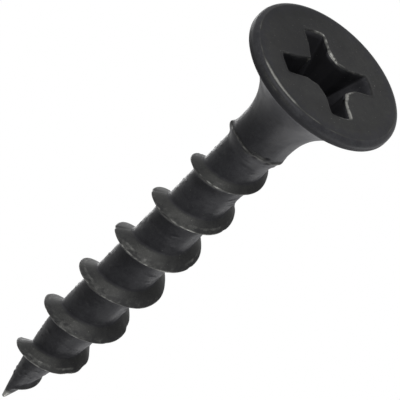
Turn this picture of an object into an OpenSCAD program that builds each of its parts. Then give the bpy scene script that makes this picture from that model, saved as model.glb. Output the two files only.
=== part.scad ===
// Drywall screw with a bugle head, a cross recess and a coarse rolled thread.
// It stands on its flat head: z = 0 is the head's face and the point is at the top.
// The four wings of the recess lie along X and Y.

/* [Overall] */
// Length from the head's face to the tip
overall_l = 25.4; // [23:0.1:30]

/* [Head] */
// Diameter of the head
head_d = 8.2; // [7.6:0.05:8.8]
// Height of the head's upright rim, with its rounded edges
rim_h = 0.6; // [0.5:0.05:0.8]
// Rounding of the rim at the head's face
rim_round = 0.28; // [0.1:0.02:0.3]
// Rounding of the rim on its underside
rim_under_round = 0.12; // [0.05:0.01:0.15]
// Distance from the head's face to the end of the bugle's curve
bugle_h = 4.8; // [4.2:0.1:5]
// How fast the bugle flares to the rim: 1 is a cone, 2 is a parabola
bugle_flare = 2.4; // [1.8:0.1:3]

/* [Recess] */
// Distance across two opposite wings at the head's face
recess_m = 5.1; // [4.6:0.05:5.4]
// Depth at which the sloped ends of the wings meet the bottom cone
recess_depth = 2.9; // [2.2:0.1:3.1]
// Slope of the wings' ends from the axis
recess_end_angle = 26.5; // [22:0.5:28]
// Slope of the bottom cone from level
recess_bottom_angle = 28; // [15:1:32]
// Width of a wing at the head's face
wing_w = 1.1; // [0.9:0.05:1.15]
// Slope of the wings' sides from the axis
wing_draft = 2.5; // [2:0.5:4]
// Distance between two opposite corners of the head's metal, across the middle
corner_gap = 2.4; // [2.2:0.05:2.6]
// Angle of each of those corners, seen along the axis
corner_angle = 138; // [126:1:150]
// Slope of the corners from the axis
corner_draft = 5.75; // [3:0.25:7]

/* [Neck] */
// Diameter of the plain neck under the bugle
neck_d = 2.84; // [2.7:0.02:3]
// Distance from the head's face to the lip where the rolled thread begins
lip_z = 5.4; // [5.3:0.05:6]
// How far that lip stands proud of the neck
lip_h = 0.06; // [0.02:0.01:0.1]
// Width of the lip along the axis
lip_w = 0.32; // [0.2:0.02:0.44]
// Length of the slope from the lip down to the thread's root
lip_slope_l = 0.25; // [0.2:0.05:0.5]

/* [Thread] */
// Diameter over the thread's crest
thread_d = 3.87; // [3.7:0.01:4.1]
// Diameter of the thread's root
root_d = 2.46; // [2.3:0.02:2.6]
// Rise of one turn of the single right-hand thread
pitch = 2.82; // [2.4:0.02:3.2]
// Width of the tooth where it meets the root
tooth_w = 1.06; // [0.8:0.02:1.2]
// Width of the tooth's crest
crest_w = 0.13; // [0.08:0.01:0.2]
// How far the flanks hollow inwards, as a share of the straight flank's width
flank_hollow = 0.14; // [0:0.02:0.3]
// Direction in which the tooth leaves the lip, about the axis
thread_turn = 286; // [0:1:359]
// Length over which the tooth grows to its full height
run_in_l = 7; // [3:0.25:8]
// How early the tooth gains height: below 1 it rises fast and then slowly
run_in_shape = 0.4; // [0.3:0.05:1]
// Distance from the tip at which the tooth begins to fade
run_out_start = 3.4; // [2.8:0.1:4.4]
// Distance from the tip at which the tooth is gone
run_out_end = 0.95; // [0.8:0.05:1.4]
// How late the tooth loses height: above 1 it keeps its height at first
run_out_shape = 1.3; // [1:0.1:2]

/* [Point] */
// Length of the tapered point
point_l = 6.4; // [5:0.1:8]
// How full the point is: 1 is a cone, 2 is a parabola
point_fullness = 1.5; // [1.1:0.05:1.8]
// Radius of the slightly blunt tip
tip_r = 0.07; // [0.03:0.01:0.12]

/* [Hidden] */

// Facets of a circle where the drawing needs them
$fn = 96;
// Steps of the thread in one turn
turn_steps = 48;
// Steps of the bugle, the point and each rounded edge in the outline
bugle_steps = 22;
point_steps = 16;
round_steps = 6;
// Half of the arc that the lip's round shows
lip_arc = 60;
// How deep the tooth's foot is sunk into the root, as a share of the root's radius
foot_sink = 0.18;
// The least width of the tooth where it starts and ends, as a share of its full width
thin_share = 0.4;
// Where the hollow of the flank and the rounding of the crest lie, as shares of the height
knee_share = 0.38;
crest_share = 0.94;
// How far the tooth's ends dive under the root
end_dive = 0.04;
// How far the recess's cutters run past the face and past their own bottom
cut_over = 0.4;

head_r = head_d / 2;
neck_r = neck_d / 2;
lip_r = neck_r + lip_h;
root_r = root_d / 2;
crest_h = (thread_d - root_d) / 2;
point_z = overall_l - point_l;
thread_z0 = lip_z - lip_w / 2;
thread_z1 = overall_l - run_out_end;
fade_z = overall_l - run_out_start;
end_slope = tan(recess_end_angle);
bottom_r = recess_m / 2 - recess_depth * end_slope;
bottom_z = recess_depth + bottom_r * tan(recess_bottom_angle);

// A value held between 0 and 1
function share_of(value) = min(1, max(0, value));

// Points of an arc of the outline, from one direction to another
function arc(centre, r, from, to) =
    [for (i = [0:round_steps])
        let (a = from + (to - from) * i / round_steps)
        centre + r * [cos(a), sin(a)]];

// Radius of the bugle's underside at a height
function bugle_radius(z) =
    neck_r + (head_r - rim_under_round - neck_r)
        * pow((bugle_h - z) / (bugle_h - rim_h), bugle_flare);

// Radius of the root at a height: straight, then drawn in to the tip
function root_radius(z) =
    tip_r + (root_r - tip_r)
        * (1 - pow(share_of((z - point_z) / (point_l - tip_r)), point_fullness));

// Share of its full height that the tooth has at a height
function tooth_share(z) =
    pow(share_of((z - thread_z0) / run_in_l), run_in_shape)
        * (1 - pow(share_of((z - fade_z) / (thread_z1 - fade_z)), run_out_shape));

// One half of the tooth's section, from its foot in the root to its crest.
// Each point is a place along the axis and a share of the height over the root.
function tooth_side(share) =
    let (half = tooth_w / 2 * (thin_share + (1 - thin_share) * share),
        crest = crest_w / 2,
        foot = half + foot_sink * root_r * (half - crest) / crest_h,
        knee = (half + (crest - half) * knee_share) * (1 - flank_hollow))
    [[foot, -1], [knee, knee_share], [crest, crest_share], [0, 1]];

// A point of the section as a radius and a height, on either side of the crest
function tooth_point(z, p, side, share) =
    let (r = root_radius(z + side * p[0]),
        rise = crest_h * share - end_dive * (1 - share))
    [p[1] < 0 ? r * (1 - foot_sink) : r + rise * p[1], z + side * p[0]];

// One whole section of the tooth, with the crest's own point once
function tooth_section(z) =
    let (share = tooth_share(z), half = tooth_side(share), last = len(half) - 1)
    concat(
        [for (i = [0:last]) tooth_point(z, half[i], -1, share)],
        [for (i = [last - 1:-1:0]) tooth_point(z, half[i], 1, share)]
    );

// The plain body: head, bugle, neck, lip, root and point
module body() {
    rotate_extrude()
        polygon(concat(
            [[0, 0]],
            arc([head_r - rim_round, rim_round], rim_round, -90, 0),
            arc([head_r - rim_under_round, rim_h - rim_under_round], rim_under_round, 0, 90),
            [for (i = [1:bugle_steps])
                let (z = rim_h + (bugle_h - rim_h) * i / bugle_steps)
                [bugle_radius(z), z]],
            [[neck_r, thread_z0]],
            arc([lip_r - lip_w / 2, lip_z], lip_w / 2, -lip_arc, lip_arc),
            [[root_r, lip_z + lip_w / 2 + lip_slope_l]],
            [for (i = [0:point_steps])
                let (z = point_z + (point_l - tip_r) * i / point_steps)
                [root_radius(z), z]],
            arc([0, overall_l - tip_r], tip_r, 15, 90)
        ));
}

// The single tooth, swept along its helix
module thread() {
    length = thread_z1 - thread_z0;
    steps = ceil(length / pitch * turn_steps);
    sections = [for (i = [0:steps]) tooth_section(thread_z0 + length * i / steps)];
    n = len(sections[0]);
    points = [for (i = [0:steps])
        let (a = thread_turn + 360 * length / pitch * i / steps)
        for (p = sections[i]) [p[0] * cos(a), p[0] * sin(a), p[1]]];
    faces = concat(
        [[for (k = [n - 1:-1:0]) k]],
        [for (i = [0:steps - 1], k = [0:n - 1])
            let (a = i * n + k, b = i * n + (k + 1) % n)
            each [[a, b + n, a + n], [a, b, b + n]]],
        [[for (k = [0:n - 1]) steps * n + k]]
    );
    polyhedron(points, faces);
}

// The cross at a depth: four wings, with a blunt corner of metal between each two
function cross_outline(depth) =
    let (w = wing_w / 2 - depth * tan(wing_draft),
        c = (corner_gap / 2 - depth * tan(corner_draft)) / sqrt(2),
        join = c + (c - w) / tan(corner_angle / 2 - 45),
        reach = recess_m)
    [for (q = [0:3], p = [[reach, -w], [reach, w], [join, w], [c, c], [w, join]])
        [p[0] * cos(90 * q) - p[1] * sin(90 * q), p[0] * sin(90 * q) + p[1] * cos(90 * q)]];

// The cross as a cutter that draws in evenly with depth
module cross() {
    levels = [-cut_over, bottom_z + cut_over];
    n = len(cross_outline(0));
    points = [for (z = levels) each concat([[0, 0, z]], [for (p = cross_outline(z)) [p[0], p[1], z]])];
    faces = [for (k = [0:n - 1])
        let (a = 1 + k, b = 1 + (k + 1) % n, up = n + 1)
        each [[0, a, b], [up, up + b, up + a], [a, up + a, up + b, b]]];
    polyhedron(points, faces);
}

// The space that a driver's tip fills: the cross inside the cone of its ends
module recess() {
    intersection() {
        rotate_extrude()
            polygon([
                [0, -cut_over],
                [recess_m / 2 + cut_over * end_slope, -cut_over],
                [bottom_r, recess_depth],
                [0, bottom_z]
            ]);
        cross();
    }
}

module drywall_screw() {
    color([0.2, 0.2, 0.21])
        difference() {
            union() {
                body();
                thread();
            }
            recess();
        }
}

drywall_screw();
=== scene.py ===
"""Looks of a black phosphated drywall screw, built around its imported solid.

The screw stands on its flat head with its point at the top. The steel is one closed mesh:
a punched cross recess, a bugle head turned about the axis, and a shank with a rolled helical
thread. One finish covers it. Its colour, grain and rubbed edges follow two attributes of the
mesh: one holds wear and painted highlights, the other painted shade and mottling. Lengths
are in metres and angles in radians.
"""

import logging
import math
from collections.abc import Iterable, Sequence
from dataclasses import dataclass, field
from enum import Enum
from typing import Any, Union

import bmesh
import bpy
from bmesh.types import BMEdge, BMesh, BMVert
from mathutils import Matrix, Vector, noise


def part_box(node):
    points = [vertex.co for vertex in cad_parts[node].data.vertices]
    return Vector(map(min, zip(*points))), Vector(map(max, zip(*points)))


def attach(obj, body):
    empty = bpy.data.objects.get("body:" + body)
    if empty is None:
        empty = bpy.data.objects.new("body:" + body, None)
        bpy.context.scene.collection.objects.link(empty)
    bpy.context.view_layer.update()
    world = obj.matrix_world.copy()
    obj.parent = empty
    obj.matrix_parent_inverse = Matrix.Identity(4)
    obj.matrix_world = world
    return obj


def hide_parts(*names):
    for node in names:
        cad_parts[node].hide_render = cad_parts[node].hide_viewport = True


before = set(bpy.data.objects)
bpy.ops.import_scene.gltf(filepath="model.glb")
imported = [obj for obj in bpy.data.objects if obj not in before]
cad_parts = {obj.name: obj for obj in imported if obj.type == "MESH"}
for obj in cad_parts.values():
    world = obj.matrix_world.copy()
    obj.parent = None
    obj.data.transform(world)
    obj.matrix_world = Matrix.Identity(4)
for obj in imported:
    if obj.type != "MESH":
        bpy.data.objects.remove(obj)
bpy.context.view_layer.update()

LOG = logging.getLogger("drywall_screw")
MM = 0.001
DEG = math.radians(1)
FULL_TURN = 2 * math.pi
UP = Vector((0, 0, 1))
MIDDLE = 0.5
PHOTO_PIXELS = 400

Number = Union["Signal", float]
Colour = tuple[float, float, float]
Span = tuple[float, float]
FlatPoint = tuple[float, float]


class Slot(Enum):
    """The record's material slots."""

    PHOSPHATE = "black_phosphate"


class Mark(Enum):
    """Attributes that the mesh carries for its finish: wear with painted highlights, and painted shade
    with mottling.
    """

    WEAR_AND_HIGHLIGHT = "wear_and_highlight"
    SHADE_AND_MOTTLE = "shade_and_mottle"


def share(value: float, low: float, high: float) -> float:
    """Gives how far a value lies from low to high, held between 0 and 1."""
    return min(1.0, max(0.0, (value - low) / (high - low)))


def ease(value: float, low: float, high: float) -> float:
    """Gives the same share with a smooth start and end."""
    x = share(value, low, high)
    return x * x * (3 - 2 * x)


def bell(value: float, width: float) -> float:
    """Gives a smooth bump: 1 at zero and nearly gone at twice the width."""
    return math.exp(-((value / width) ** 2))


def direction(point: Vector) -> float:
    """Gives a point's angle about the axis."""
    return math.atan2(point.y, point.x)


def outwards(angle: float) -> Vector:
    """Gives the level direction away from the axis at an angle."""
    return Vector((math.cos(angle), math.sin(angle), 0))


def evenly(start: FlatPoint, end: FlatPoint, count: int) -> list[FlatPoint]:
    """Spaces points evenly on a straight line, the start with them and the end left out.

    Args:
        start: The first point.
        end: The point that the line runs to.
        count: How many points there are.

    Returns:
        The points.
    """
    return [
        (start[0] + (end[0] - start[0]) * i / count, start[1] + (end[1] - start[1]) * i / count)
        for i in range(count)
    ]


def quarter_arc(middle: Vector, radius: float, start: float, steps: int) -> list[Vector]:
    """Gives a quarter circle in the XZ plane.

    Args:
        middle: Its middle.
        radius: Its radius.
        start: The angle that it starts at.
        steps: How many steps it has.

    Returns:
        Its points with both ends, counter-clockwise.
    """
    turns = [start + math.pi / 2 * i / steps for i in range(steps + 1)]
    return [middle + radius * Vector((math.cos(turn), 0, math.sin(turn))) for turn in turns]


@dataclass(frozen=True)
class Grain:
    """Smooth noise with features of about one size."""

    size: float
    seed: float
    strength: float = 1.0

    def at(self, point: Vector) -> float:
        """Gives the noise at a point, between minus and plus its strength."""
        shift = Vector((self.seed, -self.seed, 2 * self.seed))
        return self.strength * noise.noise(point / self.size + shift)


def layers(grains: Iterable[Grain], point: Vector) -> float:
    """Adds up several noises at a point."""
    return sum(grain.at(point) for grain in grains)


@dataclass(frozen=True)
class Streak:
    """Noise that is drawn out along the thread, by how fast it changes in three directions."""

    around: float
    across: float
    climb: float

    def at(self, around: Vector, across: Vector, climb: Vector) -> float:
        """Gives the noise at a place on the thread, between -1 and 1."""
        return noise.noise(self.around * around + self.across * across + self.climb * climb)


@dataclass(frozen=True)
class Facing:
    """One or more directions about the axis, and the angle over which their share falls away."""

    angles: tuple[float, ...]
    spread: float

    def share(self, angle: float) -> float:
        """Gives how near an angle lies to any of the directions, from 0 to 1."""
        return max(bell(math.remainder(angle - side, FULL_TURN), self.spread) for side in self.angles)


@dataclass(frozen=True)
class Band:
    """A band that comes in over one stretch of heights and goes out over another."""

    rise: Span
    fall: Span
    strength: float

    def share(self, z: float) -> float:
        """Gives the band's strength at a height."""
        return self.strength * ease(z, *self.rise) * (1 - ease(z, *self.fall))


@dataclass(frozen=True)
class Spot:
    """A small hollow or lump that the rolling left in the metal. A hollow's rise is negative."""

    angle: float
    z: float
    along: float = 0.14 * MM
    across: float = 0.075 * MM
    rise: float = -0.05 * MM

    def share(self, angle: float, z: float, radius: float) -> float:
        """Gives how much of the spot's rise there is at a place.

        Args:
            angle: Direction about the axis.
            z: Height.
            radius: Radius of the surface there.

        Returns:
            A value from 0 to 1.
        """
        run = math.remainder(angle - self.angle, FULL_TURN) * radius
        return bell(math.hypot(run / self.along, (z - self.z) / self.across), 1.0)


class Signal:
    """An output of a node, so that shader maths reads as an expression."""

    def __init__(self, sheet: "NodeSheet", output: bpy.types.NodeSocket) -> None:
        """Wraps an output of a sheet's node."""
        self.sheet = sheet
        self.output = output

    def __add__(self, other: Number) -> "Signal":
        """Adds."""
        return self.sheet.math("ADD", self, other)

    def __sub__(self, other: Number) -> "Signal":
        """Subtracts."""
        return self.sheet.math("SUBTRACT", self, other)

    def __rsub__(self, other: Number) -> "Signal":
        """Subtracts from a number."""
        return self.sheet.math("SUBTRACT", other, self)

    def __mul__(self, other: Number) -> "Signal":
        """Multiplies."""
        return self.sheet.math("MULTIPLY", self, other)

    __radd__ = __add__
    __rmul__ = __mul__

    def most(self, other: Number) -> "Signal":
        """Gives the larger of two."""
        return self.sheet.math("MAXIMUM", self, other)

    def step(self, low: float, high: float) -> "Signal":
        """Adds a smooth step.

        Args:
            low: The value where it is still 0.
            high: The value from which it is 1.

        Returns:
            The stepped signal.
        """
        return self.sheet.node(
            "ShaderNodeMapRange",
            {"interpolation_type": "SMOOTHSTEP"},
            {"Value": self, "From Min": low, "From Max": high},
        )


class NodeSheet:
    """The nodes of one material or world."""

    def __init__(self, tree: bpy.types.NodeTree) -> None:
        """Empties a tree and keeps it."""
        tree.nodes.clear()
        self.tree = tree

    def node(
        self,
        kind: str,
        settings: dict[str, Any] | None = None,
        inputs: dict[str, Any] | None = None,
        output: str = "",
    ) -> Signal:
        """Adds one node.

        Args:
            kind: The node's type, such as ShaderNodeMath.
            settings: Its own properties, which are set first.
            inputs: Values or signals for its sockets, by identifier or name.
            output: The output that is given back, by identifier or name, or else the first.

        Returns:
            The chosen output.
        """
        made = self.tree.nodes.new(kind)
        for name, value in (settings or {}).items():
            setattr(made, name, value)
        for name, value in (inputs or {}).items():
            found = [s for s in made.inputs if s.identifier == name]
            socket = found[0] if found else made.inputs[name]
            if isinstance(value, Signal):
                self.tree.links.new(value.output, socket)
            else:
                socket.default_value = value
        ends = made.outputs or made.inputs
        named = [end for end in ends if output in (end.identifier, end.name)]
        return Signal(self, named[0] if named else ends[0])

    def math(self, operation: str, a: Number, b: Number) -> Signal:
        """Adds a Math node.

        Args:
            operation: What it works out, such as MULTIPLY.
            a: The first number or signal.
            b: The second.

        Returns:
            The result.
        """
        return self.node("ShaderNodeMath", {"operation": operation}, {"Value": a, "Value_001": b})

    def length(self, vector: Signal) -> Signal:
        """Adds a node that gives a vector's length."""
        return self.node("ShaderNodeVectorMath", {"operation": "LENGTH"}, {"Vector": vector}, "Value")

    def blend(self, factor: Number, a: Any, b: Any, how: str = "MIX") -> Signal:
        """Mixes two colours.

        Args:
            factor: 0 gives the first colour and 1 the second.
            a: The first colour or signal.
            b: The second.
            how: The way in which the second meets the first, such as MULTIPLY.

        Returns:
            The mixed colour.
        """
        colours = [c if isinstance(c, Signal) else (*c, 1.0) for c in (a, b)]
        inputs = {"Factor_Float": factor, "A_Color": colours[0], "B_Color": colours[1]}
        settings = {"data_type": "RGBA", "blend_type": how}
        return self.node("ShaderNodeMix", settings, inputs, output="Result_Color")


@dataclass(frozen=True)
class Phosphate:
    """The fine-grained dark phosphate of the steel, rubbed bright on its edges, with painted
    highlights, a painted sheen, painted shade and a bluish painted shade tint in its colour.
    """

    slot: Slot = Slot.PHOSPHATE
    dark: Colour = (0.030, 0.030, 0.031)
    light: Colour = (0.060, 0.0605, 0.059)
    # A bluish tint for painted shade, laid on roots and hollows.
    shade_tint: Colour = (0.94, 0.94, 1.04)
    bare: Colour = (0.25, 0.25, 0.235)
    # The near-black colour of painted shade and of the darker mottling.
    shade_and_mottle: Colour = (0.010, 0.010, 0.0115)
    patch_size: float = 1.1 * MM
    cloud_size: float = 0.30 * MM
    crystal_size: float = 0.05 * MM
    sparkle_size: float = 0.09 * MM
    patch_detail: float = 3.0
    cloud_detail: float = 4.0
    crystal_detail: float = 2.0
    sparkle_detail: float = 1.0
    noise_roughness: float = 0.55
    patch_share: float = 0.35
    cloud_share: float = 0.4
    crystal_share: float = 0.25
    wear_and_highlight_share: float = 0.2
    tone_range: Span = (0.38, 0.66)
    speck_range: Span = (0.74, 0.84)
    speck_level: float = 0.45
    worn_grit: float = 0.7
    worn_range: Span = (0.3, 0.9)
    # The wear level under which surfaces take the painted shade tint.
    shade_tint_range: Span = (0.0, 0.2)
    # The wear level over which the partly painted sheen comes in, and its strength.
    wear_and_sheen_range: Span = (0.2, 0.34)
    wear_and_sheen_level: float = 0.17
    matt: float = 0.47
    matt_tone: float = 0.16
    matt_worn: float = 0.16
    matt_in_shade: float = 0.25
    metal_worn: float = 0.65
    gloss_level: float = 0.12
    crystal_height: float = 0.005 * MM
    crystal_bump: float = 0.55
    cloud_bump: float = 0.45
    worn_bump: float = 0.3
    bump_strength: float = 0.8

    def material(self) -> bpy.types.Material:
        """Makes the material.

        Returns:
            The material, named after its slot.
        """
        made = bpy.data.materials.new(self.slot.value)
        made.use_nodes = True
        sheet = NodeSheet(made.node_tree)
        place = sheet.node("ShaderNodeTexCoord", output="Object")
        patches = self.clouds(sheet, place, self.patch_size, self.patch_detail)
        clouds = self.clouds(sheet, place, self.cloud_size, self.cloud_detail)
        crystals = self.clouds(sheet, place, self.crystal_size, self.crystal_detail)
        sparkle = self.clouds(sheet, place, self.sparkle_size, self.sparkle_detail)
        wear_and_highlight = self.mark(sheet, Mark.WEAR_AND_HIGHLIGHT)
        shade_and_mottle = self.mark(sheet, Mark.SHADE_AND_MOTTLE)

        tone = patches * self.patch_share + clouds * self.cloud_share
        tone = tone + crystals * self.crystal_share + wear_and_highlight * self.wear_and_highlight_share
        tone = tone.step(*self.tone_range)
        speck = (sparkle + wear_and_highlight * self.wear_and_highlight_share).step(*self.speck_range) * self.speck_level
        # Bare steel where the wear mark is high: worn edges and painted highlight lines alike.
        worn = wear_and_highlight * (MIDDLE + clouds) + (crystals - MIDDLE) * self.worn_grit
        worn = worn.step(*self.worn_range)
        # Painted shade tint: surfaces with little wear and no highlight, such as the roots and
        # hollows, turn bluish as if in shade.
        shade_tinted = 1 - wear_and_highlight.step(*self.shade_tint_range)
        # Partly painted sheen: a smooth lightening towards bare steel where the wear mark is moderate,
        # as on the flanks of one side, and on worn edges.
        wear_and_sheen = wear_and_highlight.step(*self.wear_and_sheen_range) * self.wear_and_sheen_level
        colour = sheet.blend(tone, self.dark, self.light)
        colour = sheet.blend(shade_tinted, colour, self.shade_tint, "MULTIPLY")
        # Painted shade: the near-black colour where the shade mark is high, in the recess, pits and
        # creases and on shaded sides, with darker mottling on the head's face.
        colour = sheet.blend(shade_and_mottle, colour, self.shade_and_mottle)
        colour = sheet.blend(wear_and_sheen, colour, self.bare)
        colour = sheet.blend(worn.most(speck), colour, self.bare)
        matt = self.matt + (tone - MIDDLE) * self.matt_tone - worn * self.matt_worn
        height = crystals * self.crystal_bump + clouds * self.cloud_bump + worn * self.worn_bump
        normal = sheet.node(
            "ShaderNodeBump",
            {},
            {"Strength": self.bump_strength, "Distance": self.crystal_height, "Height": height},
            output="Normal",
        )
        steel = sheet.node(
            "ShaderNodeBsdfPrincipled",
            {},
            {
                "Base Color": colour,
                "Metallic": worn * self.metal_worn,
                "Roughness": matt + shade_and_mottle * self.matt_in_shade,
                "Specular IOR Level": self.gloss_level,
                "Normal": normal,
            },
        )
        sheet.node("ShaderNodeOutputMaterial", {}, {"Surface": steel})
        return made

    def clouds(self, sheet: NodeSheet, place: Signal, size: float, detail: float) -> Signal:
        """Adds a noise pattern.

        Args:
            sheet: The sheet that gets it.
            place: Coordinates in metres.
            size: Width of its main features, in metres.
            detail: How many finer layers it has.

        Returns:
            A value from 0 to 1.
        """
        inputs = {
            "Vector": place,
            "Scale": 1 / size,
            "Detail": detail,
            "Roughness": self.noise_roughness,
        }
        return sheet.node("ShaderNodeTexNoise", {}, inputs)

    @staticmethod
    def mark(sheet: NodeSheet, mark: Mark) -> Signal:
        """Reads one of the mesh's attributes."""
        settings = {"attribute_type": "GEOMETRY", "attribute_name": mark.value}
        return sheet.node("ShaderNodeAttribute", settings, output="Fac")


@dataclass(frozen=True)
class PaleFloor:
    """A pale floor that fades into the white background and can't be seen from below."""

    colour: Colour = (0.80, 0.80, 0.80)
    paleness: float = 0.34
    fade_start: float = 30 * MM
    fade_end: float = 200 * MM

    def material(self) -> bpy.types.Material:
        """Makes the material.

        Returns:
            The material.
        """
        made = bpy.data.materials.new("pale_floor")
        made.use_nodes = True
        sheet = NodeSheet(made.node_tree)
        place = sheet.node("ShaderNodeTexCoord", output="Object")
        away = sheet.length(place)
        below = sheet.node("ShaderNodeNewGeometry", output="Backfacing")
        gone = below.most(away.step(self.fade_start, self.fade_end))
        seen = sheet.node("ShaderNodeLightPath", output="Is Camera Ray")
        paint = sheet.node("ShaderNodeBsdfDiffuse", {}, {"Color": (*self.colour, 1.0)})
        white = sheet.node("ShaderNodeEmission", {}, {"Strength": 1.0})
        inputs = {"Fac": seen * self.paleness, "Shader": paint, "Shader_001": white}
        paint = sheet.node("ShaderNodeMixShader", {}, inputs)
        clear = sheet.node("ShaderNodeBsdfTransparent")
        inputs = {"Fac": gone, "Shader": paint, "Shader_001": clear}
        mixed = sheet.node("ShaderNodeMixShader", {}, inputs)
        sheet.node("ShaderNodeOutputMaterial", {}, {"Surface": mixed})
        return made


class Marks:
    """The two layers of a mesh that its finish reads: wear with painted highlights, and painted shade
    with mottling.
    """

    def __init__(self, bm: BMesh) -> None:
        """Adds both layers, before the mesh has any vertices."""
        self.wear_and_highlight = bm.verts.layers.float.new(Mark.WEAR_AND_HIGHLIGHT.value)
        self.shade_and_mottle = bm.verts.layers.float.new(Mark.SHADE_AND_MOTTLE.value)

    def put(self, vert: BMVert, wear_and_highlight: float, shade_and_mottle: float) -> None:
        """Raises a vertex's marks to at least the given values."""
        vert[self.wear_and_highlight] = max(vert[self.wear_and_highlight], wear_and_highlight)
        vert[self.shade_and_mottle] = max(vert[self.shade_and_mottle], shade_and_mottle)


class Loft:
    """Closed rings of equal count, each extruded from the one before it."""

    def __init__(self, bm: BMesh, points: Sequence[Vector]) -> None:
        """Starts with one ring.

        Args:
            bm: The mesh that gets the loft.
            points: The ring's points.
        """
        self.bm = bm
        made = bmesh.ops.create_circle(bm, segments=len(points), radius=1.0)
        self.ring: list[BMVert] = made["verts"]
        self.place(points)

    def place(self, points: Sequence[Vector]) -> None:
        """Moves the last ring to the given points."""
        for vert, point in zip(self.ring, points):
            vert.co = point

    def edges(self) -> list[BMEdge]:
        """Gives the edges of the last ring."""
        ring = set(self.ring)
        return list({e for v in self.ring for e in v.link_edges if e.other_vert(v) in ring})

    def extend(self, points: Sequence[Vector]) -> None:
        """Extrudes the last ring.

        Args:
            points: Where the new ring's points go.
        """
        made = bmesh.ops.extrude_edge_only(self.bm, edges=self.edges())["geom"]
        fresh = {item for item in made if isinstance(item, BMVert)}
        self.ring = [
            next(e.other_vert(v) for e in v.link_edges if e.other_vert(v) in fresh)
            for v in self.ring
        ]
        self.place(points)

    def close(self, middle: Vector) -> None:
        """Caps the last ring with a fan.

        Args:
            middle: The point that the fan's faces share.
        """
        cap = bmesh.ops.contextual_create(self.bm, geom=self.edges())["faces"]
        fan = bmesh.ops.poke(self.bm, faces=cap)
        fan["verts"][0].co = middle


@dataclass(frozen=True)
class Corner:
    """A blunt corner of the head's metal between two wings of the recess."""

    gap: float = 2.4 * MM
    angle: float = 138 * DEG


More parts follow.
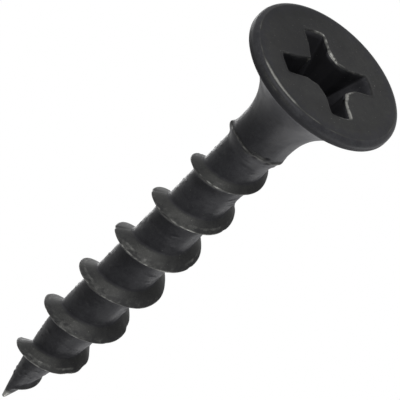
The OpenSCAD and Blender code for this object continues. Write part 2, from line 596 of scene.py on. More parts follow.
@dataclass
class Recess:
    """The punched cross recess, a little off centre. Depths run up from the head's face."""

    span: float = 5.1 * MM
    end_depth: float = 2.9 * MM
    end_angle: float = 26.5 * DEG
    floor_angle: float = 28 * DEG
    wing_w: float = 1.15 * MM
    wing_draft: float = 2.5 * DEG
    corners: tuple[Corner, ...] = (
        Corner(),
        Corner(),
        Corner(),
        Corner(gap=2.12 * MM, angle=112 * DEG),
    )
    corner_draft: float = 5.75 * DEG
    off_centre: FlatPoint = (-0.1 * MM, -0.04 * MM)
    turn: float = 1.9 * DEG
    mouth_round: float = 0.06 * MM
    mouth_grain: Grain = Grain(0.35 * MM, 3.1, 0.5)
    mouth_wear: float = 0.6
    dent_x: Grain = Grain(0.5 * MM, 2.2, 0.02 * MM)
    dent_y: Grain = Grain(0.5 * MM, 7.7, 0.02 * MM)
    # The burr under the sharpest corner, whose metal also carries a painted glint.
    drip_side: Facing = Facing((-48.6 * DEG,), 5 * DEG)
    drip_range: Span = (0.15 * MM, 0.42 * MM)
    drip_h: float = 0.07 * MM
    # Two sides of the mouth that are worn rounder and carry painted highlights.
    worn_and_highlit_side: Facing = Facing((38 * DEG, 152 * DEG), 27 * DEG)
    rub_base: float = 0.15
    mouth_highlight_level: float = 0.75
    rub_speckle: float = 0.45
    speckles: tuple[Grain, ...] = (Grain(0.5 * MM, 6.4, 0.5), Grain(0.15 * MM, 1.9, 0.5))
    # Painted shade inside the recess, and painted light on two wing ends that catch it.
    shade_grain: Grain = Grain(0.4 * MM, 4.5, 0.06 * MM)
    shade_range: Span = (0.02 * MM, 0.22 * MM)
    shade_level: float = 0.95
    lit_wall_side: Facing = Facing((90 * DEG, 180 * DEG), 18 * DEG)
    lit_wall_range: Span = (1.5 * MM, 2.1 * MM)
    lit_wall_share: float = 0.75
    wall_start: float = 1.6
    floor_crowding: float = 0.8
    mouth_steps: int = 5
    wall_steps: int = 16
    floor_steps: int = 7
    end_points: int = 7
    side_points: int = 10
    pad_points: int = 7
    softening: int = 1

    def reach(self, depth: float) -> float:
        """Gives the radius of the cone that ends the wings, and of the bottom cone under it.

        Args:
            depth: Distance from the head's face.

        Returns:
            The radius, which is 0 past the bottom.
        """
        bottom = self.span / 2 - self.end_depth * math.tan(self.end_angle)
        if depth <= self.end_depth:
            return self.span / 2 - depth * math.tan(self.end_angle)
        return max(0.0, bottom - (depth - self.end_depth) / math.tan(self.floor_angle))

    def full_depth(self) -> float:
        """Gives the depth of the bottom cone's tip."""
        return self.end_depth + self.reach(self.end_depth) * math.tan(self.floor_angle)

    def eighth(self, depth: float, blunt: Corner) -> list[FlatPoint]:
        """Traces one eighth of the outline at a depth, from a wing's end to a corner.

        Args:
            depth: Distance from the head's face.
            blunt: The corner.

        Returns:
            Points in the plane, the first on the X axis and the last on the diagonal.
        """
        half = self.wing_w / 2 - depth * math.tan(self.wing_draft)
        gap = blunt.gap / 2 - depth * math.tan(self.corner_draft)
        corner = gap / math.sqrt(2)
        slope = math.tan(blunt.angle / 2 - math.pi / 4)
        join = corner + (corner - half) / slope
        reach = self.reach(depth)
        if reach <= gap:
            edge = (reach / math.sqrt(2), reach / math.sqrt(2))
            join_at = pad = edge
        else:
            pad = (corner, corner)
            edge = (math.sqrt(max(0.0, reach**2 - half**2)), half)
            join_at = (join, half)
            if edge[0] < join:
                edge = join_at = self.on_pad(reach, corner, slope)
        turn = math.atan2(edge[1], edge[0])
        ends = [turn * i / self.end_points for i in range(self.end_points)]
        points = [(reach * math.cos(angle), reach * math.sin(angle)) for angle in ends]
        points += evenly(edge, join_at, self.side_points)
        points += evenly(join_at, pad, self.pad_points)
        return points + [pad]

    @staticmethod
    def on_pad(reach: float, corner: float, slope: float) -> FlatPoint:
        """Finds where a circle meets the sloped side of a pad.

        Args:
            reach: Radius of the circle.
            corner: Both coordinates of the pad's corner.
            slope: Fall of the pad's side away from its corner.

        Returns:
            The point.
        """
        a = 1 + slope**2
        b = 2 * corner * (1 - slope)
        c = 2 * corner**2 - reach**2
        x = (-b + math.sqrt(max(0.0, b * b - 4 * a * c))) / (2 * a)
        return corner + x, corner - slope * x

    def outline(self, depth: float) -> list[Vector]:
        """Gives the whole softened outline at a depth.

        Args:
            depth: Distance from the head's face.

        Returns:
            The ring's points, counter-clockwise from near the X axis.
        """
        ring = []
        shift = Vector((*self.off_centre, 0))
        for quarters, corner in enumerate(self.corners):
            part = self.eighth(depth, corner)
            quarter = part + [(y, x) for x, y in part[-2:0:-1]]
            turn = Matrix.Rotation(quarters * math.pi / 2 + self.turn, 3, "Z")
            ring += [turn @ Vector((x, y, depth)) + shift for x, y in quarter]
        for _ in range(self.softening):
            count = len(ring)
            ring = [
                (ring[i - 1] + 2 * ring[i] + ring[(i + 1) % count]) / 4 for i in range(count)
            ]
        return ring

    def mouth(self, angle: float) -> list[Vector]:
        """Gives a ring of the rounded mouth.

        Args:
            angle: Place on the rounding, from 0 at the head's face to a right angle at the wall.

        Returns:
            The ring's points.
        """
        ring = self.outline(0.0)
        count = len(ring)
        points = []
        for i, point in enumerate(ring):
            along = ring[(i + 1) % count] - ring[i - 1]
            outward = Vector((along.y, -along.x, 0)).normalized()
            near = self.worn_and_highlit_side.share(direction(point))
            burr = self.mouth_round * (1 + self.mouth_grain.at(point) + self.mouth_wear * near)
            shift = outward * burr * (1 - math.sin(angle)) + UP * burr * (1 - math.cos(angle))
            points.append(point + shift)
        return points

    def mouth_wear_and_highlight(self, point: Vector) -> float:
        """Gives the wear of the mouth's edge near a point, with painted highlights added on two sides.

        Args:
            point: The point.

        Returns:
            About 0 to 1, and outside it in places.
        """
        near = self.worn_and_highlit_side.share(direction(point))
        speckle = layers(self.speckles, point) * (self.rub_speckle + near)
        return self.rub_base + self.mouth_highlight_level * near + speckle

    def drip(self, point: Vector) -> float:
        """Gives how much a wall is part of the small burr under the sharpest corner, which also sets
        the burr's painted glint.
        """
        near = self.drip_side.share(direction(point))
        return near * (1 - ease(point.z, *self.drip_range))

    def dented(self, point: Vector) -> Vector:
        """Moves a point of the walls a little, as the punch left them uneven.

        Args:
            point: The point on the even wall.

        Returns:
            The moved point.
        """
        swell = Vector((self.dent_x.at(point), self.dent_y.at(point), 0))
        inward = -Vector((point.x, point.y, 0)).normalized()
        return point + swell + inward * self.drip_h * self.drip(point)

    def shade_and_mottle(self, point: Vector) -> float:
        """Gives the painted shade in the recess at a point: none at the mouth, full deep inside, and
        less on two wing ends where light reaches.

        Args:
            point: The point.

        Returns:
            A value from 0 to 1.
        """
        depth = point.z + self.shade_grain.at(point)
        outer = ease(math.hypot(point.x, point.y), *self.lit_wall_range)
        # Painted light: two wing ends that catch light keep less of the painted shade.
        clear = self.lit_wall_share * self.lit_wall_side.share(direction(point)) * outer
        return self.shade_level * ease(depth, *self.shade_range) * (1 - clear)

    def build(self, bm: BMesh, marks: Marks) -> Loft:
        """Builds the recess from its bottom to its mouth.

        Args:
            bm: The mesh that gets it.
            marks: The mesh's marks.

        Returns:
            The loft, whose last ring is the mouth on the head's face.
        """
        bottom = self.full_depth()
        floor = [
            bottom + (self.end_depth - bottom) * (i / self.floor_steps) ** self.floor_crowding
            for i in range(1, self.floor_steps)
        ]
        top = self.mouth_round * self.wall_start
        walls = [
            self.end_depth + (top - self.end_depth) * i / self.wall_steps
            for i in range(self.wall_steps + 1)
        ]
        depths = floor + walls
        loft = Loft(bm, self.outline(depths[0]))
        loft.close(UP * bottom)
        for depth in depths[1:]:
            loft.extend([self.dented(point) for point in self.outline(depth)])
        # Painted shade inside the recess, deeper down.
        for vert in bm.verts:
            if vert.co.z <= bottom:
                # The burr under the sharpest corner gets a painted glint through the wear mark, and no
                # painted shade.
                burr = self.drip(vert.co)
                marks.put(vert, burr, self.shade_and_mottle(vert.co) * (1 - burr))
        for i in range(self.mouth_steps, -1, -1):
            loft.extend(self.mouth(math.pi / 2 * i / self.mouth_steps))
            for vert in loft.ring:
                # The mouth's edge: wear all round, with painted highlights on two sides.
                vert[marks.wear_and_highlight] = max(0.0, self.mouth_wear_and_highlight(vert.co))
                vert[marks.shade_and_mottle] = 0.0
        return loft


@dataclass
class BugleHead:
    """The head: its face with the recess, its rim and its bugle, as far as the shank's join."""

    radius: float
    recess: Recess = field(default_factory=Recess)
    rim_h: float = 0.6 * MM
    rim_round: float = 0.28 * MM
    under_round: float = 0.12 * MM
    bugle_h: float = 4.8 * MM
    flare: float = 2.4
    neck_r: float = 1.42 * MM
    join_z: float = 4.7 * MM
    face_edge: float = 3.5 * MM
    face_run: float = 0.6
    face_shares: tuple[float, ...] = (0.03, 0.09, 0.2, 0.34, 0.5, 0.67, 0.84, 1.0)
    face_sink: float = 0.014 * MM
    face_dents: Grain = Grain(0.8 * MM, 2.7, 0.7)
    mouth_calm: float = 0.09
    edge_calm: float = 0.2
    rim_calm: float = 1.5
    swells: tuple[Grain, ...] = (
        Grain(0.8 * MM, 6.6, 0.03 * MM),
        Grain(0.25 * MM, 1.2, 0.012 * MM),
    )
    face_skin: float = 0.04 * MM
    # Painted light: the face's level keeps it out of the bluish painted shade tint and a little
    # lighter.
    face_lit_level: float = 0.2
    bugle_rub: float = 0.1
    bugle_grain: Grain = Grain(0.6 * MM, 1.4, 0.1)
    rim_rub: float = 0.16
    rim_grain: Grain = Grain(0.5 * MM, 9.3, 0.5)
    # The rim's painted highlights: the side where they are strongest, their level, the line along the
    # face's edge and the band on the rim's side.
    highlight_side: Facing = Facing((-114 * DEG,), 25 * DEG)
    highlight_level: float = 0.82
    highlight_line_off: float = 0.03 * MM
    highlight_line_w: float = 0.04 * MM
    highlight_line_widening: float = 0.025 * MM
    highlight_band_level: float = 0.34
    highlight_band_z: float = 0.2 * MM
    highlight_band_w: float = 0.06 * MM
    rim_start: float = 3.85 * MM
    # A darker mottled face with painted shade towards one side, painted shade on the rim's side, and a
    # faint darker band on the bugle.
    face_darkening: float = 0.32
    face_clouds: tuple[Grain, ...] = (Grain(1.5 * MM, 8.1, 0.16), Grain(0.5 * MM, 2.9, 0.08))
    shade_side: Facing = Facing((-35 * DEG,), 70 * DEG)
    shade_side_level: float = 0.22
    rim_shade: Band = Band((0.26 * MM, 0.36 * MM), (0.55 * MM, 0.75 * MM), 0.55)
    bugle_darkening: Band = Band((0.6 * MM, 1.2 * MM), (2.6 * MM, 4.2 * MM), 0.12)
    round_steps: int = 10
    bugle_steps: int = 44

    def bugle_radius(self, z: float) -> float:
        """Gives the radius of the bugle's underside at a height."""
        rise = max(0.0, (self.bugle_h - z) / (self.bugle_h - self.rim_h))
        return self.neck_r + (self.radius - self.under_round - self.neck_r) * rise**self.flare

    def profile(self) -> list[Vector]:
        """Gives the outline that is turned.

        Returns:
            Its points in the XZ plane, from the face's edge to the neck.
        """
        rim = Vector((self.radius - self.rim_round, 0, self.rim_round))
        under = Vector((self.radius - self.under_round, 0, self.rim_h - self.under_round))
        face_x = self.face_edge * (1 - self.face_run) + rim.x * self.face_run
        points = [Vector((self.face_edge, 0, 0)), Vector((face_x, 0, 0))]
        points += quarter_arc(rim, self.rim_round, -math.pi / 2, self.round_steps)
        points.append((points[-1] + under + Vector((self.under_round, 0, 0))) / 2)
        points += quarter_arc(under, self.under_round, 0.0, self.round_steps // 2)
        for i in range(1, self.bugle_steps + 1):
            z = self.rim_h + (self.join_z - self.rim_h) * i / self.bugle_steps
            points.append(Vector((self.bugle_radius(z), 0, z)))
        return points

    def face_point(self, mouth: Vector, turn: float, k: float) -> Vector:
        """Gives a point of the slightly uneven face between the recess and the rim.

        Args:
            mouth: The point of the recess's mouth that it starts from.
            turn: Direction of the point on the face's edge that it runs to.
            k: Share of the way.

        Returns:
            The point.
        """
        point = mouth.lerp(outwards(turn) * self.face_edge, k)
        sink = self.face_sink * (1 + self.face_dents.at(point))
        return point + UP * sink * ease(k, 0.0, self.mouth_calm) * ease(1 - k, 0.0, self.edge_calm)

    def swell(self, point: Vector) -> float:
        """Gives how far the forging left the bugle uneven at a point.

        Args:
            point: The point on the even surface.

        Returns:
            The distance that it moves out, which may be negative.
        """
        calm = ease(point.z, self.rim_h, self.rim_calm * self.rim_h)
        calm *= ease(self.join_z - point.z, 0.0, self.rim_h)
        return layers(self.swells, point) * calm

    def wear_and_highlight(self, point: Vector) -> float:
        """Gives the head's wear at a point, with painted highlights on its rim and painted light on
        its face.

        Args:
            point: The point.

        Returns:
            0 where there is none, and about 1 where the steel is painted bare.
        """
        radius = math.hypot(point.x, point.y)
        if radius < self.face_edge:
            # Painted light on the face, against the painted shade tint of the hollows.
            return self.face_lit_level if point.z < self.face_skin else 0.0
        if point.z > self.rim_h:
            return max(0.0, self.bugle_rub + self.bugle_grain.at(point))
        # The rim's painted highlights: a line along the face's edge, partly edge wear, and a band on
        # the rim's side, both strongest on one side.
        side = self.highlight_side.share(direction(point))
        patchy = self.rim_rub + self.highlight_level * side + self.rim_grain.at(point)
        inner = Vector((radius - (self.radius - self.rim_round), point.z))
        line = bell(inner.length - self.highlight_line_off, self.highlight_line_w + self.highlight_line_widening * side)
        band = self.highlight_band_level * side * bell(point.z - self.highlight_band_z, self.highlight_band_w)
        return max(0.0, patchy * max(line, band))

    def shade_and_mottle(self, point: Vector) -> float:
        """Gives how dark the head is painted at a point: a darker mottled face with painted shade
        towards one side, painted shade on the rim's side, and a faint darker band on the bugle.

        Args:
            point: The point.

        Returns:
            A value from 0 to 1.
        """
        if math.hypot(point.x, point.y) < self.rim_start and point.z < self.face_skin:
            # Painted shade across one side of the face.
            shaded = self.shade_side_level * self.shade_side.share(direction(point))
            return max(0.0, self.face_darkening + shaded + layers(self.face_clouds, point))
        # Painted shade on the rim's side, and a faint darker band on the bugle.
        return max(self.rim_shade.share(point.z), self.bugle_darkening.share(point.z))

    def build(self, bm: BMesh, marks: Marks) -> None:
        """Builds the head, open at the shank's join.

        Args:
            bm: The mesh that gets it.
            marks: The mesh's marks.
        """
        loft = self.recess.build(bm, marks)
        mouth = [vert.co.copy() for vert in loft.ring]
        count = len(mouth)
        turns = [FULL_TURN * i / count for i in range(count)]
        for k in self.face_shares:
            loft.extend([self.face_point(point, turn, k) for point, turn in zip(mouth, turns)])
            for vert in loft.ring:
                vert[marks.wear_and_highlight] = 0.0
        before = set(bm.verts)
        verts = [bm.verts.new(point) for point in self.profile()]
        edges = [bm.edges.new(pair) for pair in zip(verts, verts[1:])]
        bmesh.ops.spin(
            bm,
            geom=verts + edges,
            cent=(0, 0, 0),
            axis=UP,
            angle=FULL_TURN,
            steps=count,
            use_merge=True,
        )
        for vert in bm.verts:
            if vert not in before:
                wide = 1 + self.swell(vert.co) / self.radius
                vert.co *= Vector((wide, wide, 1))


@dataclass
class Shank:
    """The rolled shank from the neck to the tip, with its single right-hand thread."""

    length: float
    join_z: float
    neck_r: float
    lip_z: float = 5.08 * MM
    lip_climb: float = 0.42 * MM
    lip_side: Facing = Facing((-40 * DEG,), 38 * DEG)
    lip_waver: Grain = Grain(0.7 * MM, 5.0, 0.09 * MM)
    lip_h: float = 0.04 * MM
    lip_w: float = 0.055 * MM
    lip_slope: float = 0.42 * MM
    slope_most: float = 2.1
    slope_climb: Span = (0.1, 0.7)
    ridge_base: float = 0.95
    ridge_fall: float = 0.6
    ridge_least: float = 0.15
    ridge_grain: Grain = Grain(0.35 * MM, 8.0, 1.1)
    pits: tuple[Spot, ...] = (
        Spot(-147 * DEG, 5.13 * MM, along=0.12 * MM, rise=-0.04 * MM),
        Spot(-169 * DEG, 4.87 * MM, along=0.13 * MM),
        Spot(-177 * DEG, 5.11 * MM, along=0.13 * MM, rise=-0.06 * MM),
        Spot(95 * DEG, 5.1 * MM),
        Spot(20 * DEG, 5.2 * MM),
    )
    lumps: tuple[Spot, ...] = (
        Spot(-44 * DEG, 5.6 * MM, along=0.26 * MM, across=0.29 * MM, rise=0.155 * MM),
        Spot(-153 * DEG, 4.95 * MM, along=0.55 * MM, across=0.07 * MM, rise=0.03 * MM),
        Spot(-202 * DEG, 5.12 * MM, along=0.2 * MM, across=0.1 * MM, rise=0.035 * MM),
        Spot(-128 * DEG, 5.28 * MM, along=0.16 * MM, rise=0.025 * MM),
    )
    chips: tuple[Spot, ...] = (
        Spot(100 * DEG, 20.7 * MM, along=0.45 * MM, across=1.0 * MM, rise=-0.14 * MM),
        Spot(138 * DEG, 21.0 * MM, along=0.2 * MM, across=1.0 * MM, rise=-0.07 * MM),
        Spot(172 * DEG, 21.27 * MM, along=0.14 * MM, across=1.0 * MM, rise=-0.04 * MM),
        Spot(120 * DEG, 18.04 * MM, along=0.1 * MM, across=1.0 * MM, rise=-0.06 * MM),
        Spot(-120 * DEG, 10.5 * MM, along=0.14 * MM, across=1.0 * MM, rise=-0.07 * MM),
    )
    thread_z: float = 5.24 * MM
    root_r: float = 1.23 * MM
    crest_h: float = 0.705 * MM
    pitch: float = 2.82 * MM
    tooth_w: float = 1.06 * MM
    crest_w: float = 0.13 * MM
    turn: float = 286 * DEG
    run_in: float = 7 * MM
    run_in_shape: float = 0.4
    fade_start: float = 3.4 * MM
    fade_end: float = 0.78 * MM
    fade_shape: float = 1.3
    point_l: float = 6.4 * MM
    fullness: float = 1.5
    tip_r: float = 0.1 * MM
    thin_share: float = 0.4
    flank_power: float = 1.08
    crest_share: float = 0.94
    end_dive: float = 0.04 * MM
    crest_waves: Grain = Grain(0.8 * MM, 3.3, 0.035 * MM)
    breaks: Grain = Grain(0.3 * MM, 6.0)
    break_range: Span = (0.3, 0.7)
    break_depth: float = 0.05 * MM
    seam_off: float = 0.11 * MM
    seam_w: float = 0.03 * MM
    seam_depth: float = 0.012 * MM
    seam_grain: Grain = Grain(1.3 * MM, 4.4)
    seam_range: Span = (-0.15, 0.25)
    drawn: Streak = Streak(1.8, 1.1, 0.31)
    drawn_h: float = 0.014 * MM
    fine: Streak = Streak(3.2, 2.6, 0.5)
    fine_h: float = 0.004 * MM
    burrs: Streak = Streak(3.4, 3.4, 0.45)
    burr_range: Span = (0.22, 0.55)
    burr_spread: float = 0.6
    burr_h: float = 0.03 * MM
    join_calm: float = 0.5 * MM
    tip_calm: Span = (0.1 * MM, 1.5 * MM)
    flank_edge: Span = (0.05, 0.2)
    # The crest line and the seam's edge beside it: partly wear, partly a painted highlight line.
    crest_line_level: float = 0.5
    crest_grains: tuple[Grain, ...] = (Grain(0.6 * MM, 1.1, 0.7), Grain(0.15 * MM, 7.1, 0.6))
    crest_line_w: float = 0.045 * MM
    crest_gain: float = 1.6
    twin_line_level: float = 0.8
    twin_off: float = 0.05 * MM
    # Painted light: the flanks' level keeps them out of the bluish painted shade tint and a little
    # lighter.
    flank_lit_level: float = 0.2
    flank_grains: tuple[Grain, ...] = (Grain(0.13 * MM, 5.5, 0.9), Grain(0.4 * MM, 2.5, 0.45))
    grit_range: Span = (0.4, 0.95)
    # The flanks' painted sheen: the side it falls on, its level, and how it fades towards the crest.
    highlight_side: Facing = Facing((-127 * DEG,), 30 * DEG)
    highlight_level: float = 0.12
    worn_range: Span = (0.4, 0.9)
    highlight_loss: float = 0.3
    tip_rub: float = 0.7
    tip_grain: Grain = Grain(0.3 * MM, 4.2, 0.5)
    tip_worn_l: float = 0.8 * MM
    tip_bare_l: float = 0.3 * MM
    lip_rub: float = 0.5
    lip_grain: Grain = Grain(0.25 * MM, 3.7, 0.5)
    lump_rub: float = 0.55
    # Painted shadow under the lip, painted shade in the crease at the tooth's foot and on the flanks
    # of one side.
    lip_shadow: float = 0.16
    lip_shadow_off: float = 0.11 * MM
    shade_w: float = 0.05 * MM
    foot_shade: float = 0.28
    shade_side: Facing = Facing((-205 * DEG,), 32 * DEG)
    shade_side_level: float = 0.32
    steps_round: int = 128
    points_a_side: int = 33
    crowding: float = 1.35
    turn_weld: float = 0.002 * MM
    cut_slack: float = 1e-8
    join_gap: float = 0.03 * MM
    tip_cut: float = 0.004 * MM

    def tooth_share(self, z: float) -> float:
        """Gives the share of its full height that the tooth has.

        Args:
            z: Height of the crest line.

        Returns:
            A value from 0 to 1.
        """
        begun = share(z, self.thread_z, self.thread_z + self.run_in)
        faded = share(z, self.length - self.fade_start, self.length - self.fade_end)
        return begun**self.run_in_shape * (1 - faded**self.fade_shape)

    def tooth_half(self, full: float) -> float:
        """Gives half the width of the tooth's foot, where it has a share of its full height."""
        return self.tooth_w / 2 * (self.thin_share + (1 - self.thin_share) * full)

    def root_radius(self, z: float) -> float:
        """Gives the radius of the root, drawn in to the blunt tip.

        Args:
            z: Height.

        Returns:
            The radius.
        """
        shoulder = self.length - self.tip_r
        if z > shoulder:
            return math.sqrt(max(0.0, self.tip_r**2 - (z - shoulder) ** 2))
        along = share(z, self.length - self.point_l, shoulder)
        return self.tip_r + (self.root_r - self.tip_r) * (1 - along**self.fullness)

    def lip_line(self, angle: float) -> float:
        """Gives the height of the ragged lip, which climbs to where the tooth begins."""
        waver = self.lip_waver.at(outwards(angle) * self.neck_r)
        return self.lip_z + self.lip_climb * self.lip_side.share(angle) + waver

    def body_radius(self, angle: float, z: float) -> float:
        """Gives the radius without the tooth: neck, ragged lip, root and point.

        Args:
            angle: Direction about the axis.
            z: Height.

        Returns:
            The radius.
        """
        if z > self.lip_z + self.lip_climb + 2 * self.lip_slope:
            return self.root_radius(z)
        lip_z = self.lip_line(angle)
        climb = (lip_z - self.lip_z) / self.lip_climb
        slope = self.lip_slope * (self.slope_most - share(climb, *self.slope_climb))
        drop = ease(z, lip_z, lip_z + slope)
        waver = self.ridge_grain.at(outwards(angle) * self.neck_r)
        ridge = self.lip_h * max(self.ridge_least, self.ridge_base - self.ridge_fall * climb + waver)
        radius = self.neck_r + (self.root_radius(z) - self.neck_r) * drop
        spots = self.pits + self.lumps
        uneven = sum(spot.rise * spot.share(angle, z, self.neck_r) for spot in spots)
        return radius + ridge * bell(z - lip_z, self.lip_w) + uneven

    def relief(self, angle: float, z: float, crest_z: float) -> float:
        """Gives the small unevenness of the rolled root and flanks, drawn out along the helix.

        Args:
            angle: Direction about the axis.
            z: Height.
            crest_z: Height of the nearest crest line.

        Returns:
            A height, which may be negative.
        """
        phase = FULL_TURN * (z - crest_z) / self.pitch
        place = (outwards(angle), Vector((0, math.sin(phase), math.cos(phase))), UP * z / MM)
        burr = self.burr_h * ease(self.burrs.at(*place), *self.burr_range)
        burr *= bell(math.cos(phase) + 1, self.burr_spread)
        return self.drawn_h * self.drawn.at(*place) + self.fine_h * self.fine.at(*place) + burr

    def nearest_crest(self, angle: float, z: float) -> float:
        """Gives the height of the thread's crest line that is nearest in one direction."""
        first = self.thread_z + self.pitch * (angle - self.turn) / FULL_TURN
        return first + self.pitch * round((z - first) / self.pitch)

    def crest_point(self, angle: float, crest_z: float) -> Vector:
        """Gives the point of the root under the crest line, where the crest's noises are read."""
        return Vector((math.cos(angle) * self.root_r, math.sin(angle) * self.root_r, crest_z))

    def nick(self, angle: float, crest_z: float) -> float:
        """Gives how far the crest's waves, broken places and chips raise it.

        Args:
            angle: Direction about the axis.
            crest_z: Height of the crest line.

        Returns:
            The rise, which may be negative.
        """
        along = self.crest_point(angle, crest_z)
        broken = self.break_depth * ease(self.breaks.at(along), *self.break_range)
        chipped = sum(chip.rise * chip.share(angle, crest_z, self.root_r) for chip in self.chips)
        return self.crest_waves.at(along) - broken + chipped

    def seam(self, along: Vector) -> float:
        """Gives how open the rolling seam beside the crest is, from 0 to 1."""
        return ease(self.seam_grain.at(along), *self.seam_range)

    def calm(self, z: float) -> float:
        """Gives 1 on the thread and less on the neck's join and the tip."""
        joined = ease(z, self.join_z, self.join_z + self.join_calm)
        return joined * ease(self.length - z, *self.tip_calm)

    def radius(self, angle: float, z: float) -> float:
        """Gives the radius of the finished shank.

        Args:
            angle: Direction about the axis.
            z: Height.

        Returns:
            The radius.
        """
        crest_z = self.nearest_crest(angle, z)
        full = self.tooth_share(crest_z)
        half = self.tooth_half(full)
        crest = self.crest_w / 2
        off = abs(z - crest_z)
        if off >= crest:
            rise = self.crest_share * share(half - off, 0.0, half - crest) ** self.flank_power
        else:
            rise = 1 - (1 - self.crest_share) * (off / crest) ** 2
        height = (self.crest_h + self.nick(angle, crest_z)) * full - self.end_dive * (1 - full)
        tooth = self.root_radius(z) + max(0.0, height) * rise
        groove = self.seam_depth * bell(crest_z - z - self.seam_off, self.seam_w)
        groove *= self.seam(self.crest_point(angle, crest_z)) * full
        relief = self.relief(angle, z, crest_z) * self.calm(z)
        return max(self.body_radius(angle, z), tooth) + relief - groove

    def on_flank(self, point: Vector) -> float:
        """Gives 1 on the tooth's flanks and 0 on the body under it, with a smooth rise between."""
        height = math.hypot(point.x, point.y) - self.body_radius(direction(point), point.z)
        return ease(height / self.crest_h, *self.flank_edge)

    def crest_wear_and_highlight(self, point: Vector) -> float:
        """Gives the light line along the crest and the seam's edge beside it at a point: partly wear,
        partly a painted highlight.

        Args:
            point: The point.

        Returns:
            About 0 to 1, and outside it in places.
        """
        angle = direction(point)
        crest_z = self.nearest_crest(angle, point.z)
        full = self.tooth_share(crest_z)
        along = self.crest_point(angle, crest_z)
        # A light line along the crest and another beside the seam: partly wear, partly painted
        # highlight.
        line = bell(point.z - crest_z, self.crest_line_w) * min(1.0, self.crest_gain * full)
        beside = crest_z - point.z - self.seam_off - self.twin_off
        twin = self.twin_line_level * bell(beside, self.seam_w) * self.seam(along) * full
        return (self.crest_line_level + layers(self.crest_grains, along)) * max(line, twin)

    def flank_sheen_and_wear(self, point: Vector) -> float:
        """Gives the flanks' mark at a point: painted light on all flanks, a painted sheen on one side
        that fades towards the crest, and worn grit near the crest.

        Args:
            point: The point.

        Returns:
            A value under 1, and a little below 0 in places.
        """
        height = (math.hypot(point.x, point.y) - self.root_radius(point.z)) / self.crest_h
        grit = layers(self.flank_grains, point) * ease(height, *self.grit_range)
        # Painted sheen on the flanks of one side, fading towards the crest.
        side = self.highlight_side.share(direction(point))
        side *= 1 - self.highlight_loss * ease(height, *self.worn_range)
        return (self.flank_lit_level + self.highlight_level * side) * self.on_flank(point) * (1 + grit)

    def rub_of_lip(self, point: Vector) -> float:
        """Gives how rubbed the lip and the lumps beside it are at a point.

        Args:
            point: The point.

        Returns:
            A value from 0 to 1.
        """
        angle = direction(point)
        raised = max(lump.share(angle, point.z, self.neck_r) for lump in self.lumps)
        line = bell(point.z - self.lip_line(angle), self.lip_w)
        return (self.lip_rub + self.lip_grain.at(point)) * max(line, self.lump_rub * raised)

    def rub_of_tip(self, point: Vector) -> float:
        """Gives how rubbed the tip is at a point."""
        worn = ease(point.z, self.length - self.tip_worn_l, self.length - self.tip_bare_l)
        return (self.tip_rub + self.tip_grain.at(point)) * worn

    def wear_and_highlight(self, point: Vector) -> float:
        """Gives the shank's wear and painted light at a point, by whichever part gives most."""
        parts = (self.crest_wear_and_highlight, self.flank_sheen_and_wear, self.rub_of_lip, self.rub_of_tip)
        return max(0.0, *(part(point) for part in parts))

    def shade_and_mottle(self, point: Vector) -> float:
        """Gives the painted shade on the shank: in its pits, a painted shadow line under its lip, in
        the crease at the tooth's foot, and on the flanks of one side.

        Args:
            point: The point.

        Returns:
            A value from 0 to 1.
        """
        angle = direction(point)
        crest_z = self.nearest_crest(angle, point.z)
        full = self.tooth_share(crest_z)
        # Painted shade in the pits, a painted shadow under the lip, painted shade in the crease at the
        # tooth's foot and on the flanks of one side.
        hollow = max(pit.share(angle, point.z, self.neck_r) for pit in self.pits)
        under = point.z - self.lip_line(angle) + self.lip_shadow_off
        lip = self.lip_shadow * bell(under, self.shade_w)
        beside = abs(point.z - crest_z) - self.tooth_half(full)
        foot = self.foot_shade * bell(beside, self.shade_w) * full
        flank = self.shade_side_level * self.shade_side.share(angle) * self.on_flank(point) * full
        return max(hollow, lip, foot, flank)

    def build(self, bm: BMesh) -> None:
        """Builds the shank as a helical grid that follows the thread, open at the neck and tip.

        Args:
            bm: The mesh that gets it.
        """
        start = self.nearest_crest(0.0, self.join_z - self.pitch)
        count = self.points_a_side
        offsets = [
            math.copysign(self.pitch / 2 * abs(i / count) ** self.crowding, i)
            for i in range(-count, count + 1)
        ]
        verts = [bm.verts.new((self.root_r, 0, start + off)) for off in offsets]
        edges = [bm.edges.new(pair) for pair in zip(verts, verts[1:])]
        bmesh.ops.spin(
            bm,
            geom=verts + edges,
            cent=(0, 0, 0),
            axis=UP,
            dvec=UP * self.pitch / self.steps_round,
            angle=FULL_TURN,
            steps=self.steps_round,
        )
        one_turn = bm.verts[:] + bm.edges[:] + bm.faces[:]
        for k in range(1, math.ceil((self.length - start) / self.pitch) + 1):
            copy = bmesh.ops.duplicate(bm, geom=one_turn)["geom"]
            rise = UP * self.pitch * k
            bmesh.ops.translate(bm, verts=[v for v in copy if isinstance(v, BMVert)], vec=rise)
        bmesh.ops.remove_doubles(bm, verts=bm.verts[:], dist=self.turn_weld)
        for z, below in ((self.join_z + self.join_gap, True), (self.length - self.tip_cut, False)):
            bmesh.ops.bisect_plane(
                bm,
                geom=bm.verts[:] + bm.edges[:] + bm.faces[:],
                dist=self.cut_slack,
                plane_co=UP * z,
                plane_no=UP,
                clear_inner=below,
                clear_outer=not below,
            )
        for vert in bm.verts:
            angle = direction(vert.co)
            radius = self.radius(angle, vert.co.z)
            vert.co = Vector((radius * math.cos(angle), radius * math.sin(angle), vert.co.z))


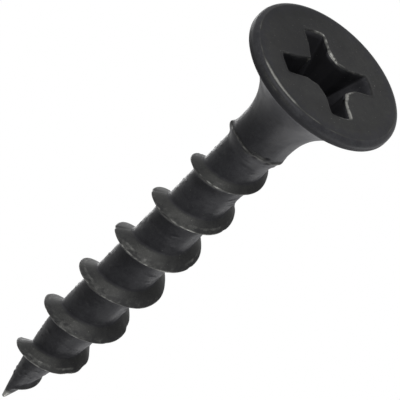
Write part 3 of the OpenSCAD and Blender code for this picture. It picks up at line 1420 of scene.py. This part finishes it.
@dataclass
class DrywallScrew:
    """The whole screw, one closed piece of steel."""

    finish: Phosphate = field(default_factory=Phosphate)
    weld: float = 0.0004 * MM

    def build(self) -> bpy.types.Object:
        """Builds and dresses the screw.

        Returns:
            The finished object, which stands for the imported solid.
        """
        low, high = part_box("drywall_screw")
        head = BugleHead(radius=(high.x - low.x) / 2)
        shank = Shank(length=high.z, join_z=head.join_z, neck_r=head.neck_r)
        bm = bmesh.new()
        marks = Marks(bm)
        shank.build(bm)
        tip = [e for e in bm.edges if e.is_boundary and e.verts[0].co.z > high.z / 2]
        cap = bmesh.ops.contextual_create(bm, geom=tip)["faces"]
        bmesh.ops.poke(bm, faces=cap)["verts"][0].co = UP * high.z
        head.build(bm, marks)
        bmesh.ops.remove_doubles(bm, verts=bm.verts[:], dist=self.weld)
        seam = [e for e in bm.edges if e.is_boundary]
        bmesh.ops.bridge_loops(bm, edges=seam)
        bmesh.ops.recalc_face_normals(bm, faces=bm.faces[:])
        for vert in bm.verts:
            part = shank if vert.co.z > head.join_z else head
            marks.put(vert, part.wear_and_highlight(vert.co), part.shade_and_mottle(vert.co))
        for face in bm.faces:
            face.smooth = True
        mesh = bpy.data.meshes.new("screw_body")
        bm.to_mesh(mesh)
        bm.free()
        piece = bpy.data.objects.new("screw_body", mesh)
        bpy.context.scene.collection.objects.link(piece)
        mesh.materials.append(self.finish.material())
        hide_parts("drywall_screw")
        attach(piece, "root")
        LOG.info("%s: %d vertices, %d faces", piece.name, len(mesh.vertices), len(mesh.polygons))
        return piece


@dataclass
class PhotoCamera:
    """The camera, which looks up at the head from the photograph's side."""

    axis_angle: float = 57.17 * DEG
    turn: float = -132 * DEG
    lean: float = 45.13 * DEG
    distance: float = 332.56 * MM
    aim_z: float = 9.762 * MM
    aim_side: float = 0.005 * MM
    focal_pixels: float = 7213.0
    sensor: float = 36.0

    def level_right(self) -> Vector:
        """Gives the level direction to the camera's right, before it leans."""
        return Vector((math.sin(self.turn), -math.cos(self.turn), 0))

    def axes(self) -> tuple[Vector, Vector, Vector]:
        """Works out how the camera is held.

        Returns:
            Its right, up and back directions.
        """
        side = outwards(self.turn)
        forward = math.cos(self.axis_angle) * UP - math.sin(self.axis_angle) * side
        down = math.sin(self.axis_angle) * UP + math.cos(self.axis_angle) * side
        spin = Matrix.Rotation(-self.lean, 3, forward)
        return spin @ self.level_right(), -(spin @ down), -forward

    def build(self) -> bpy.types.Object:
        """Adds the camera and makes it the scene's own.

        Returns:
            The camera's object.
        """
        right, up, back = self.axes()
        aim = UP * self.aim_z + self.aim_side * self.level_right()
        data = bpy.data.cameras.new("photo_camera")
        data.sensor_width = self.sensor
        data.lens = self.focal_pixels / PHOTO_PIXELS * self.sensor
        camera = bpy.data.objects.new("photo_camera", data)
        bpy.context.scene.collection.objects.link(camera)
        turn = Matrix((right, up, back)).transposed().to_4x4()
        camera.matrix_world = Matrix.Translation(aim + back * self.distance) @ turn
        bpy.context.scene.camera = camera
        LOG.info("%s: %.1f mm lens", camera.name, data.lens)
        return camera


@dataclass(frozen=True)
class Softbox:
    """One soft lamp that points at the screw."""

    name: str
    towards: tuple[float, float, float]
    level: float
    size: float = 120 * MM
    distance: float = 260 * MM

    def build(self, aim: Vector) -> bpy.types.Object:
        """Adds the lamp.

        Args:
            aim: The point that it faces.

        Returns:
            The lamp's object.
        """
        data = bpy.data.lights.new(self.name, "AREA")
        data.shape = "DISK"
        data.size = self.size
        data.energy = self.level * math.pi**2 * self.distance**2
        lamp = bpy.data.objects.new(self.name, data)
        bpy.context.scene.collection.objects.link(lamp)
        lamp.visible_camera = False
        back = Vector(self.towards).normalized()
        turn = back.to_track_quat("Z", "Y").to_matrix().to_4x4()
        lamp.matrix_world = Matrix.Translation(aim + back * self.distance) @ turn
        LOG.info("%s: level %.2f", lamp.name, self.level)
        return lamp


@dataclass
class Studio:
    """The pale floor, the soft lamps and the white background."""

    floor: PaleFloor = field(default_factory=PaleFloor)
    floor_r: float = 400 * MM
    floor_points: int = 96
    floor_gap: float = 0.02 * MM
    ambient: float = 0.03
    aim_z: float = 10 * MM
    lamps: tuple[Softbox, ...] = (
        Softbox("face_softbox", (-0.06, -0.38, -0.92), 0.42),
        Softbox("front_softbox", (-0.3, -0.47, -0.83), 0.19),
        Softbox("side_softbox", (-0.96, 0.19, 0.21), 0.28),
        Softbox("high_side_softbox", (-0.55, 0.0, 0.84), 0.22),
        Softbox("rear_softbox", (-0.36, 0.72, 0.6), 0.14),
        Softbox("overhead_softbox", (-0.2, 0.29, 0.93), 0.14),
        Softbox("far_side_softbox", (0.85, 0.34, 0.4), 0.22),
    )

    def build(self) -> None:
        """Builds the whole studio."""
        self.build_floor()
        self.build_world()
        for lamp in self.lamps:
            lamp.build(UP * self.aim_z)
        bpy.context.scene.view_settings.view_transform = "Standard"

    def build_floor(self) -> bpy.types.Object:
        """Builds the floor as a disc, which only the camera sees.

        Returns:
            The floor's object.
        """
        bm = bmesh.new()
        bmesh.ops.create_circle(bm, cap_ends=True, segments=self.floor_points, radius=self.floor_r)
        bmesh.ops.translate(bm, verts=bm.verts[:], vec=-UP * self.floor_gap)
        mesh = bpy.data.meshes.new("studio_floor")
        bm.to_mesh(mesh)
        bm.free()
        floor = bpy.data.objects.new("studio_floor", mesh)
        bpy.context.scene.collection.objects.link(floor)
        mesh.materials.append(self.floor.material())
        floor.visible_diffuse = False
        floor.visible_glossy = False
        floor.visible_transmission = False
        floor.visible_shadow = False
        LOG.info("%s: %.0f mm radius", floor.name, self.floor_r / MM)
        return floor

    def build_world(self) -> None:
        """Makes the background white, and the light that it gives dim."""
        world = bpy.data.worlds.new("studio_white")
        world.use_nodes = True
        bpy.context.scene.world = world
        sheet = NodeSheet(world.node_tree)
        seen = path = sheet.node("ShaderNodeLightPath", output="Is Camera Ray")
        for name in ("Is Glossy Ray", "Is Transmission Ray"):
            seen = seen.most(Signal(sheet, path.output.node.outputs[name]))
        strength = self.ambient + seen * (1 - self.ambient)
        inputs = {"Color": (1, 1, 1, 1), "Strength": strength}
        shine = sheet.node("ShaderNodeBackground", {}, inputs)
        sheet.node("ShaderNodeOutputWorld", {}, {"Surface": shine})


def corners(box: Iterable[Vector]) -> list[list[float]]:
    """Writes a box as plain lists of numbers."""
    return [[float(x) for x in corner] for corner in box]


def main() -> None:
    """Builds the camera, the screw and the studio."""
    logging.basicConfig(level=logging.INFO, format="%(name)s: %(message)s")
    PhotoCamera().build()
    DrywallScrew().build()
    Studio().build()


if __name__ == "__main__":
    main()
